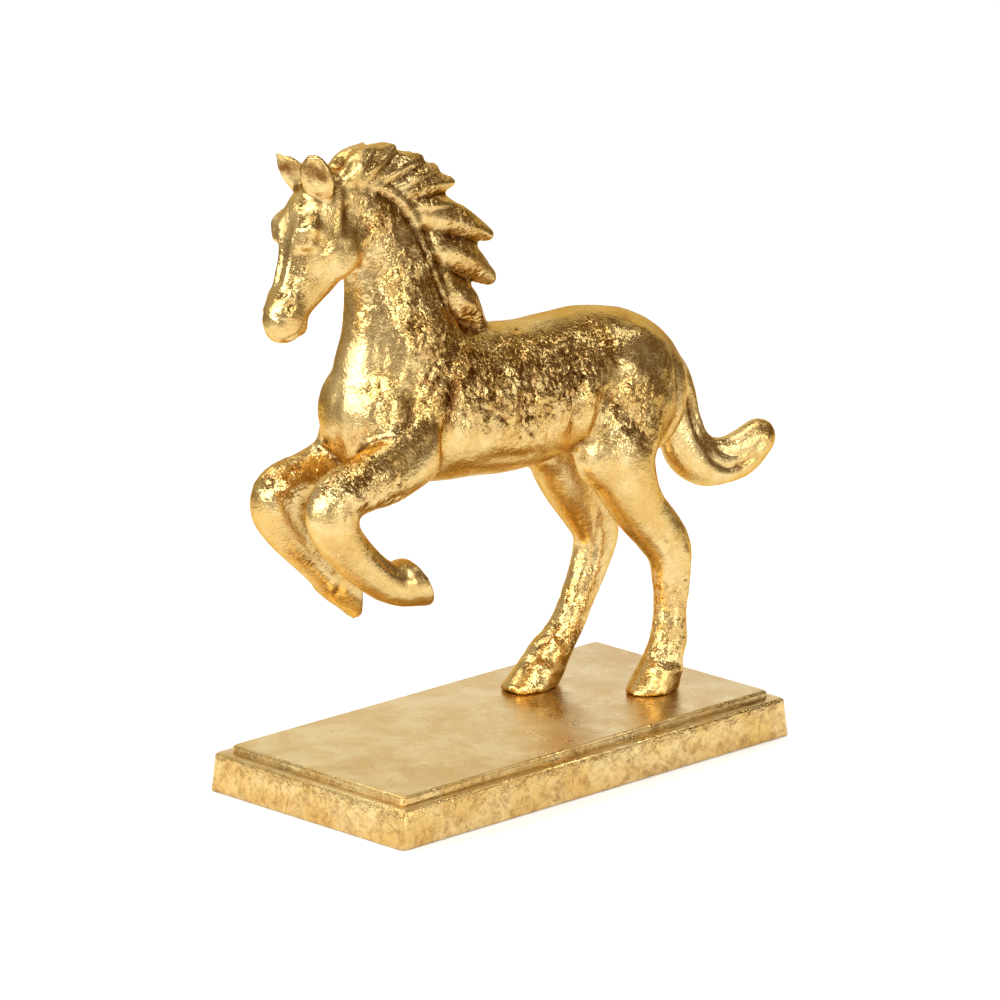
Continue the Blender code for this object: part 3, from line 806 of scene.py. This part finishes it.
def crumpled_leaf_group():
    """The height of crumpled leaf: tilted facets with creases between them, over fine grain."""
    tree, given, result = new_group(
        "crumpled leaf",
        (
            ("Vector", "NodeSocketVector", None),
            ("Crumpled", "NodeSocketFloat", 1.0),
            ("Grain", "NodeSocketFloat", 0.3),
        ),
        (("Height", "NodeSocketFloat"), ("Glint", "NodeSocketFloat")),
    )
    vector = given.outputs["Vector"]
    warp = noise_node(tree, vector, scale=240.0, detail=3.0).outputs["Color"]
    spread = vector_node(tree, "MULTIPLY_ADD", warp, FACET_WARP, vector).outputs[0]
    heights = []
    glints = []
    for scale, share in FACETS:
        cell = cell_node(tree, spread, scale)
        lean = vector_node(tree, "SUBTRACT", cell.outputs["Color"], MIDDLE_GREY).outputs[0]
        offset = vector_node(tree, "SUBTRACT", spread, cell.outputs["Position"]).outputs[0]
        tilt = vector_node(tree, "DOT_PRODUCT", lean, offset).outputs["Value"]
        parts = tree.nodes.new("ShaderNodeSeparateColor")
        tree.links.new(cell.outputs["Color"], parts.inputs[0])
        glints.append(parts.outputs[0])
        steep = math_node(tree, "POWER", parts.outputs[1], FACET_CONTRAST)
        steep = math_node(tree, "ADD", steep, FACET_LEAST)
        steep = math_node(tree, "MULTIPLY", steep, share * FACET_STEEPNESS)
        heights.append(math_node(tree, "MULTIPLY", tilt, steep))
    facets = math_node(tree, "ADD", *heights)
    rough = noise_node(tree, vector, scale=520.0, detail=2.0, roughness=0.45, distortion=0.6)
    crumple = math_node(tree, "MULTIPLY", rough.outputs["Fac"], ROUGH_SHARE)
    crumple = math_node(tree, "ADD", facets, crumple)
    crumple = math_node(tree, "MULTIPLY", crumple, given.outputs["Crumpled"])
    soft = noise_node(tree, vector, scale=1300.0, detail=2.0, roughness=0.5).outputs["Fac"]
    height = math_node(tree, "ADD", crumple, math_node(tree, "MULTIPLY", soft, given.outputs["Grain"]))
    tree.links.new(height, result.inputs["Height"])
    tree.links.new(math_node(tree, "MULTIPLY", *glints), result.inputs["Glint"])
    return tree


def shaded_and_worn_gilding_group():
    """The colour of gold leaf: pale clouds, a deep brown glaze that is partly painted dark reflection, brown
    wear in patches with painted shade in the hollows, and dark pits.
    """
    tree, given, result = new_group(
        "worn and shaded gilding",
        (
            ("Vector", "NodeSocketVector", None),
            ("Hollow", "NodeSocketFloat", 0.0),
            ("Crumpled", "NodeSocketFloat", 1.0),
            ("Wear", "NodeSocketFloat", 0.5),
            ("Stain", "NodeSocketFloat", 0.25),
            ("Pits", "NodeSocketFloat", 0.3),
            ("Leaf", "NodeSocketColor", (0.83, 0.56, 0.2, 1.0)),
            ("Pale", "NodeSocketColor", (0.9, 0.68, 0.32, 1.0)),
            ("Worn and shaded", "NodeSocketColor", (0.2, 0.085, 0.02, 1.0)),
            ("Glaze and dark reflection", "NodeSocketColor", (0.5, 0.27, 0.07, 1.0)),
        ),
        (("Color", "NodeSocketColor"), ("Wear", "NodeSocketFloat"), ("Matte", "NodeSocketFloat")),
    )
    vector = given.outputs["Vector"]
    crumpled = given.outputs["Crumpled"]
    clouds = noise_node(tree, vector, scale=70.0, detail=5.0, roughness=0.6, distortion=0.4).outputs["Fac"]
    mottle = noise_node(tree, vector, scale=330.0, detail=6.0, roughness=0.68, distortion=0.8).outputs["Fac"]
    fine = noise_node(tree, vector, scale=1300.0, detail=4.0, roughness=0.6).outputs["Fac"]
    cloudy = ramp(tree, clouds, low=0.38, high=0.66)
    base = colour_mix(tree, cloudy, given.outputs["Leaf"], given.outputs["Pale"])
    # Brown glaze on the crumpled patches, partly painted dark reflection; the stain adds some at random
    glaze_and_reflection_share = math_node(tree, "ADD", crumpled, given.outputs["Stain"])
    glaze_and_reflection_share = math_node(tree, "MULTIPLY", glaze_and_reflection_share, ramp(tree, mottle, low=0.36, high=0.62))
    glaze_and_reflection_share = math_node(tree, "MULTIPLY", glaze_and_reflection_share, GLAZE_AND_REFLECTION_SHARE)
    base = colour_mix(tree, glaze_and_reflection_share, base, given.outputs["Glaze and dark reflection"])
    # The brown comes from mottle, fine noise, crumples and the wear setting as wear, and from the hollows as
    # painted shade
    masks = (given.outputs["Hollow"], mottle, fine, crumpled, given.outputs["Wear"])
    where = 0.0
    for mask, share in zip(masks, WEAR_AND_SHADE_SHARES):
        where = math_node(tree, "ADD", where, math_node(tree, "MULTIPLY", mask, share))
    wear = ramp(tree, where, low=0.56, high=0.86)
    worn = colour_mix(tree, wear, base, given.outputs["Worn and shaded"])
    rubbed = noise_node(tree, vector, scale=95.0, detail=4.0, roughness=0.6, distortion=0.5).outputs["Fac"]
    even = math_node(tree, "MULTIPLY", crumpled, EVEN_FALL)
    even = math_node(tree, "SUBTRACT", 1.0, even, clamp=True)
    matte = math_node(tree, "MULTIPLY", even, ramp(tree, rubbed, low=0.36, high=0.52))
    tree.links.new(matte, result.inputs["Matte"])
    pits = cell_node(tree, vector, PIT_SCALE)
    spots = math_node(tree, "SUBTRACT", 1.0, ramp(tree, pits.outputs["Distance"], low=0.06, high=0.2))
    rare = ramp(tree, mottle, low=0.46, high=0.62)
    spots = math_node(tree, "MULTIPLY", math_node(tree, "MULTIPLY", spots, rare), given.outputs["Pits"])
    tree.links.new(colour_mix(tree, spots, worn, given.outputs["Worn and shaded"]), result.inputs["Color"])
    tree.links.new(math_node(tree, "MAXIMUM", wear, spots), result.inputs["Wear"])
    return tree


def gilt_material(name, settings, rim, stain, wear, pits, grain, bump, smooth_roughness, worn_roughness):
    """Gold leaf over iron, which reads the piece's own attributes for its hollows, darkened as painted shade,
    and its crumples.
    """
    material = bpy.data.materials.new(name)
    material.use_nodes = True
    tree = material.node_tree
    shader = tree.nodes["Principled BSDF"]
    shader.inputs["Metallic"].default_value = 1.0
    shader.inputs["Specular Tint"].default_value = (*rim, 1.0)
    place = tree.nodes.new("ShaderNodeTexCoord").outputs["Object"]
    hollow = attribute_value(tree, "hollow")
    crumpled = attribute_value(tree, "crumpled")
    colour = tree.nodes.new("ShaderNodeGroup")
    colour.node_tree = bpy.data.node_groups["worn and shaded gilding"]
    for label, share in (("Wear", wear), ("Stain", stain), ("Pits", pits)):
        colour.inputs[label].default_value = share
    colours = (settings.leaf, settings.pale, settings.worn, settings.glaze_and_reflection)
    for label, value in zip(("Leaf", "Pale", "Worn and shaded", "Glaze and dark reflection"), colours):
        colour.inputs[label].default_value = (*value, 1.0)
    tree.links.new(place, colour.inputs["Vector"])
    tree.links.new(hollow, colour.inputs["Hollow"])
    tree.links.new(crumpled, colour.inputs["Crumpled"])
    tree.links.new(colour.outputs["Color"], shader.inputs["Base Color"])
    leaf = tree.nodes.new("ShaderNodeGroup")
    leaf.node_tree = bpy.data.node_groups["crumpled leaf"]
    leaf.inputs["Grain"].default_value = grain
    tree.links.new(place, leaf.inputs["Vector"])
    tree.links.new(crumpled, leaf.inputs["Crumpled"])
    press = tree.nodes.new("ShaderNodeBump")
    press.inputs["Strength"].default_value = 1.0
    press.inputs["Distance"].default_value = bump
    tree.links.new(leaf.outputs["Height"], press.inputs["Height"])
    tree.links.new(press.outputs["Normal"], shader.inputs["Normal"])
    span = math_node(tree, "MULTIPLY", colour.outputs["Wear"], worn_roughness - smooth_roughness)
    glint = math_node(tree, "MULTIPLY", leaf.outputs["Glint"], GLINT_ROUGHNESS)
    matte = math_node(tree, "MULTIPLY", colour.outputs["Matte"], MATTE_ROUGHNESS)
    matte = math_node(tree, "ADD", matte, glint)
    rough = math_node(tree, "ADD", math_node(tree, "ADD", span, smooth_roughness), matte, clamp=True)
    tree.links.new(rough, shader.inputs["Roughness"])
    return material


def ensure_groups():
    if "worn and shaded gilding" not in bpy.data.node_groups:
        shaded_and_worn_gilding_group()
    if "crumpled leaf" not in bpy.data.node_groups:
        crumpled_leaf_group()


class HORSE_OT_gild_horse(bpy.types.Operator):
    """Carves the horse's finer forms into a dense copy of its casting, and gilds it"""

    bl_idname = "gilded_horse.horse"
    bl_label = "Gilded horse"

    def execute(self, context):
        carving = context.scene.horse_carving
        gilt = context.scene.horse_gilt
        ensure_groups()
        horse = dense_copy("horse", "gilded_horse", carving.grain, carving.easing)
        carve_horse(horse.data)
        points, _, edges = mesh_arrays(horse.data)
        put_points(horse.data, relaxed(points, edges, 1, LAST_EASING))
        points, normals = mesh_arrays(horse.data)[:2]
        crumpled = patch_share(points, CRUMPLED_PATCHES)
        feet = np.clip((points[:, 2] - GROUND) / FEET_REACH, 0, 1)
        creases = creased(points * CRUMPLE_GRAIN, CRUMPLE_SIZE, CRUMPLE_OCTAVES)
        lift = carving.wave * waved(points, WAVE_SIZE)
        lift += carving.crumple * crumpled * creases
        points += (lift * feet)[:, None] * normals
        put_points(horse.data, points)
        set_on_plinth(horse.data)
        glinting = np.maximum(patch_share(points, GLINTING_PATCHES), LEAST_GLINT)
        point_attribute(horse.data, "crumpled", np.maximum(crumpled, glinting))
        # Grooves, folds and the ears' hollows are darkened: painted shade
        hollow = hollow_share(horse.data, HOLLOW_ROUNDS, HOLLOW_DEPTH)
        point_attribute(horse.data, "hollow", np.maximum(hollow, patch_share(points, EAR_PAINTED_SHADE)))
        material = gilt_material("gold leaf on the horse", gilt, gilt.rim, **HORSE_FINISH)
        horse.data.materials.append(material)
        choose_only(horse)
        bpy.ops.object.shade_smooth()
        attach(horse, "root")
        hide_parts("horse")
        return {"FINISHED"}


class HORSE_OT_gild_plinth(bpy.types.Operator):
    """Models the stepped plinth with its worn edges, and gilds it"""

    bl_idname = "gilded_horse.plinth"
    bl_label = "Gilded plinth"

    def execute(self, context):
        gilt = context.scene.horse_gilt
        ensure_groups()
        plinth = merged_copy("plinth", "gilded_plinth")
        rounding = plinth.modifiers.new("worn edges", "BEVEL")
        rounding.width = EDGE_WEAR
        rounding.segments = 2
        rounding.angle_limit = EDGE_ANGLE
        apply_modifiers(plinth)
        points = mesh_arrays(plinth.data)[0]
        height = points[:, 2]
        upper = height > LEDGE_HEIGHT - LEDGE_MARGIN
        point_attribute(plinth.data, "crumpled", np.where(upper, UPPER_CRUMPLED, LOWER_CRUMPLED))
        # The riser of the upper step and the crease at its foot are darkened as painted shade, the lower
        # sides a little darker
        hollow = np.where(height > LEDGE_HEIGHT + HEIGHT_MARGIN, WALL_PAINTED_SHADE, LEDGE_FOOT_PAINTED_SHADE)
        hollow[height > PLINTH_HIGH.z - HEIGHT_MARGIN] = TOP_HOLLOW
        inner = np.abs(points[:, 1]) < PLINTH_HIGH.y - STEP_INSET
        inner &= np.abs(points[:, 0]) < PLINTH_HIGH.x - STEP_INSET
        hollow[~inner | (height < LEDGE_HEIGHT - HEIGHT_MARGIN)] = SIDE_DARKENING
        point_attribute(plinth.data, "hollow", hollow)
        material = gilt_material("gold leaf on the plinth", gilt, gilt.flat_rim, **PLINTH_FINISH)
        plinth.data.materials.append(material)
        choose_only(plinth)
        bpy.ops.object.shade_smooth_by_angle(angle=SMOOTH_ANGLE)
        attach(plinth, "root")
        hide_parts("plinth")
        return {"FINISHED"}


def add_camera(studio):
    azimuth, elevation = studio.azimuth, studio.elevation
    level = math.cos(elevation)
    back = Vector((math.sin(azimuth) * level, -math.cos(azimuth) * level, math.sin(elevation)))
    right = Vector((math.cos(azimuth), math.sin(azimuth), 0.0))
    up = back.cross(right)
    target = Vector((0.0, 0.0, AIM_HEIGHT)) - AIM_LEFT * right - AIM_DOWN * up
    data = bpy.data.cameras.new("camera")
    data.lens = studio.lens
    data.clip_end = FARTHEST_SEEN
    camera = bpy.data.objects.new("camera", data)
    camera.location = target + studio.distance * back
    camera.rotation_euler = (-back).to_track_quat("-Z", "Y").to_euler()
    bpy.context.scene.collection.objects.link(camera)
    bpy.context.scene.camera = camera


def direction(azimuth, elevation):
    """The way towards an azimuth and an elevation, both in degrees."""
    a, e = math.radians(azimuth), math.radians(elevation)
    return Vector((math.cos(a) * math.cos(e), math.sin(a) * math.cos(e), math.sin(e)))


def add_soft_light(name, azimuth, elevation, distance, width, height, radiance):
    data = bpy.data.lights.new(name, "AREA")
    data.shape = "RECTANGLE"
    data.size = width
    data.size_y = height
    data.energy = radiance * math.pi * width * height
    lamp = bpy.data.objects.new(name, data)
    towards = direction(azimuth, elevation)
    lamp.location = LIGHTS_AIM + distance * towards
    lamp.rotation_euler = towards.to_track_quat("Z", "Y").to_euler()
    bpy.context.scene.collection.objects.link(lamp)
    return lamp


def add_surroundings():
    """A dim warm room with broad glows: the sweep behind, the left wall and the camera's side."""
    world = bpy.data.worlds.new("studio")
    bpy.context.scene.world = world
    world.use_nodes = True
    tree = world.node_tree
    tree.nodes.clear()
    way = tree.nodes.new("ShaderNodeTexCoord").outputs["Generated"]
    level = 0.0
    for azimuth, elevation, half_angle, radiance in ROOM_GLOWS:
        lean = vector_node(tree, "DOT_PRODUCT", way, direction(azimuth, elevation)).outputs["Value"]
        outer = math.cos(math.radians(half_angle * GLOW_OUTER))
        inner = math.cos(math.radians(half_angle * GLOW_INNER))
        glow = math_node(tree, "MULTIPLY", ramp(tree, lean, outer, inner), radiance)
        level = math_node(tree, "MAXIMUM", glow, level)
    shade = colour_mix(tree, level, ROOM_DARK, ROOM_WHITE)
    background = tree.nodes.new("ShaderNodeBackground")
    output = tree.nodes.new("ShaderNodeOutputWorld")
    tree.links.new(shade, background.inputs["Color"])
    tree.links.new(background.outputs[0], output.inputs["Surface"])


def floor_material(studio):
    """White around the horse and behind it, and grey further out on its other sides: a painted shade standing
    in for the dark room that the gold mirrors.
    """
    material = bpy.data.materials.new("pale floor")
    material.use_nodes = True
    tree = material.node_tree
    shader = tree.nodes["Principled BSDF"]
    shader.inputs["Roughness"].default_value = FLOOR_ROUGHNESS
    shader.inputs["Specular IOR Level"].default_value = FLOOR_SHINE
    place = tree.nodes.new("ShaderNodeTexCoord").outputs["Object"]
    grey = 0.0
    front = (math.cos(FLOOR_FRONT), math.sin(FLOOR_FRONT), 0.0)
    right = (math.cos(studio.azimuth), math.sin(studio.azimuth), 0.0)
    left = (-right[0], -right[1], 0.0)
    for way in (front, right, left):
        reach = vector_node(tree, "DOT_PRODUCT", place, way).outputs["Value"]
        grey = math_node(tree, "MAXIMUM", ramp(tree, reach, *FLOOR_FADE), grey)
    tree.links.new(colour_mix(tree, grey, FLOOR_WHITE, FLOOR_PAINTED_SHADE), shader.inputs["Base Color"])
    return material


class HORSE_OT_stage(bpy.types.Operator):
    """Sets up the pale floor, the soft lights and the camera"""

    bl_idname = "gilded_horse.stage"
    bl_label = "Studio"

    def execute(self, context):
        studio = context.scene.horse_studio
        bpy.ops.object.select_all(action="DESELECT")
        place = (0.0, 0.0, PLINTH_LOW.z - FLOOR_GAP)
        bpy.ops.mesh.primitive_plane_add(size=studio.floor_size, location=place)
        floor = context.active_object
        floor.name = "floor"
        floor.data.materials.append(floor_material(studio))
        for light in SOFT_LIGHTS:
            add_soft_light(*light)
        add_soft_light(*FLOOR_WASH).visible_glossy = False
        add_surroundings()
        add_camera(studio)
        context.scene.view_settings.view_transform = "Standard"
        return {"FINISHED"}


class HORSE_PT_panel(bpy.types.Panel):
    """Lists the horse's pieces in the sidebar"""

    bl_label = "Gilded Horse"
    bl_space_type = "VIEW_3D"
    bl_region_type = "UI"
    bl_category = "Gilded Horse"

    def draw(self, context):
        for operator in OPERATORS:
            self.layout.operator(operator.bl_idname)
        for name in SETTINGS:
            group = getattr(context.scene, name)
            for key in group.__annotations__:
                self.layout.prop(group, key)


OPERATORS = (HORSE_OT_gild_plinth, HORSE_OT_gild_horse, HORSE_OT_stage)
SETTINGS = {"horse_gilt": GiltSettings, "horse_carving": CarvingSettings, "horse_studio": StudioSettings}


def register():
    for group in SETTINGS.values():
        bpy.utils.register_class(group)
    for name, group in SETTINGS.items():
        setattr(bpy.types.Scene, name, PointerProperty(type=group))
    for item in OPERATORS + (HORSE_PT_panel,):
        bpy.utils.register_class(item)


def unregister():
    for item in reversed(OPERATORS + (HORSE_PT_panel,)):
        bpy.utils.unregister_class(item)
    for name in SETTINGS:
        delattr(bpy.types.Scene, name)
    for group in SETTINGS.values():
        bpy.utils.unregister_class(group)


def main():
    register()
    bpy.ops.gilded_horse.plinth()
    bpy.ops.gilded_horse.horse()
    bpy.ops.gilded_horse.stage()


if __name__ == "__main__":
    main()
